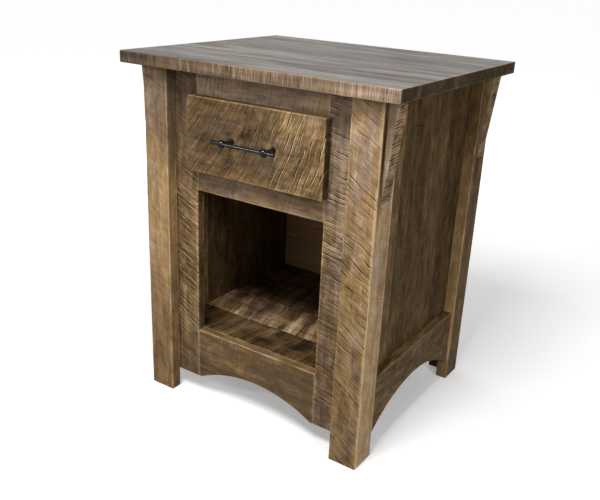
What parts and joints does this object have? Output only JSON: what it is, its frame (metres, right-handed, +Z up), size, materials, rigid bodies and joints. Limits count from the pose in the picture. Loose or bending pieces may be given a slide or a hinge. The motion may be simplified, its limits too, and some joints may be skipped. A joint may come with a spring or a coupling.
{
  "type": "nightstand",
  "caption": "Rough-sawn nightstand: a drawer on full-extension slides over an open cubby, wrapped corner legs, wedge corbels and arched rails.",
  "frame": {"origin": "on the floor, under the middle of the footprint, which runs from the front of the pull to the back edge of the top", "axes": "+Z up, -Y towards the front with the drawer, +X to the right of someone who faces the front"},
  "size_m": [0.61, 0.526, 0.737],
  "materials": {
    "top_wood": "rough-sawn maple, brown stain, satin clear coat",
    "leg_wood": "rough-sawn maple, tan to brown stain",
    "corbel_wood": "rough-sawn maple, brown stain",
    "frame_wood": "rough-sawn maple, brown stain",
    "side_wood": "rough-sawn maple, dark brown stain",
    "shelf_wood": "rough-sawn maple, brown stain",
    "drawer_wood": "rough-sawn maple, brown stain, golden streaks",
    "inner_wood": "planed, clear finish",
    "plywood": "stained plywood",
    "zinc_steel": "zinc plated",
    "ball_strip": "plain",
    "pull_iron": "hammered black, semi-gloss",
    "bumper": "matte"
  },
  "bodies": {
    "case": {"top": "top_wood", "front_left_leg_face": "leg_wood", "front_left_leg_side": "leg_wood", "front_right_leg_face": "leg_wood", "front_right_leg_side": "leg_wood", "back_left_leg_face": "leg_wood", "back_left_leg_side": "leg_wood", "back_right_leg_face": "leg_wood", "back_right_leg_side": "leg_wood", "front_left_corbel": "corbel_wood", "front_right_corbel": "corbel_wood", "back_left_corbel": "corbel_wood", "back_right_corbel": "corbel_wood", "left_stile": "frame_wood", "right_stile": "frame_wood", "top_rail": "frame_wood", "middle_rail": "frame_wood", "bottom_rail": "frame_wood", "left_side_panel": "side_wood", "right_side_panel": "side_wood", "left_apron": "side_wood", "right_apron": "side_wood", "back_apron": "side_wood", "back_panel": "plywood", "shelf": "shelf_wood", "left_shelf_cleat": "inner_wood", "right_shelf_cleat": "inner_wood", "front_shelf_cleat": "inner_wood", "divider": "plywood", "left_divider_cleat": "inner_wood", "right_divider_cleat": "inner_wood", "left_slide_board": "inner_wood", "right_slide_board": "inner_wood", "left_top_cleat": "inner_wood", "right_top_cleat": "inner_wood", "top_screws": "zinc_steel", "left_slide_outer": "zinc_steel", "right_slide_outer": "zinc_steel", "outer_slide_screws": "zinc_steel"},
    "drawer": {"drawer_front": "drawer_wood", "box_front": "inner_wood", "box_back": "inner_wood", "box_left": "inner_wood", "box_right": "inner_wood", "drawer_bottom": "plywood", "front_screws": "zinc_steel", "bumpers": "bumper", "left_slide_inner": "zinc_steel", "right_slide_inner": "zinc_steel", "inner_slide_screws": "zinc_steel", "pull_bar": "pull_iron", "pull_posts": "pull_iron", "pull_screws": "zinc_steel"},
    "left_slide_middle": {"left_slide_middle": "zinc_steel"},
    "right_slide_middle": {"right_slide_middle": "zinc_steel"},
    "left_outer_balls": {"left_outer_balls": "ball_strip"},
    "right_outer_balls": {"right_outer_balls": "ball_strip"},
    "left_inner_balls": {"left_inner_balls": "ball_strip"},
    "right_inner_balls": {"right_inner_balls": "ball_strip"}
  },
  "joints": [
    {"name": "drawer_slide", "type": "slide", "parent": "case", "child": "drawer", "axis": [0, -1, 0], "range_m": [0, 0.4]},
    {"name": "left_slide_middle_slide", "type": "slide", "parent": "case", "child": "left_slide_middle", "axis": [0, -1, 0], "range_m": [0, 0.2]},
    {"name": "right_slide_middle_slide", "type": "slide", "parent": "case", "child": "right_slide_middle", "axis": [0, -1, 0], "range_m": [0, 0.2]},
    {"name": "left_outer_balls_slide", "type": "slide", "parent": "case", "child": "left_outer_balls", "axis": [0, -1, 0], "range_m": [0, 0.1]},
    {"name": "right_outer_balls_slide", "type": "slide", "parent": "case", "child": "right_outer_balls", "axis": [0, -1, 0], "range_m": [0, 0.1]},
    {"name": "left_inner_balls_slide", "type": "slide", "parent": "case", "child": "left_inner_balls", "axis": [0, -1, 0], "range_m": [0, 0.3]},
    {"name": "right_inner_balls_slide", "type": "slide", "parent": "case", "child": "right_inner_balls", "axis": [0, -1, 0], "range_m": [0, 0.3]}
  ],
  "couplings": [
    {"joint": "left_slide_middle_slide", "follows": "drawer_slide", "ratio": 0.5},
    {"joint": "right_slide_middle_slide", "follows": "drawer_slide", "ratio": 0.5},
    {"joint": "left_outer_balls_slide", "follows": "drawer_slide", "ratio": 0.25},
    {"joint": "right_outer_balls_slide", "follows": "drawer_slide", "ratio": 0.25},
    {"joint": "left_inner_balls_slide", "follows": "drawer_slide", "ratio": 0.75},
    {"joint": "right_inner_balls_slide", "follows": "drawer_slide", "ratio": 0.75}
  ]
}
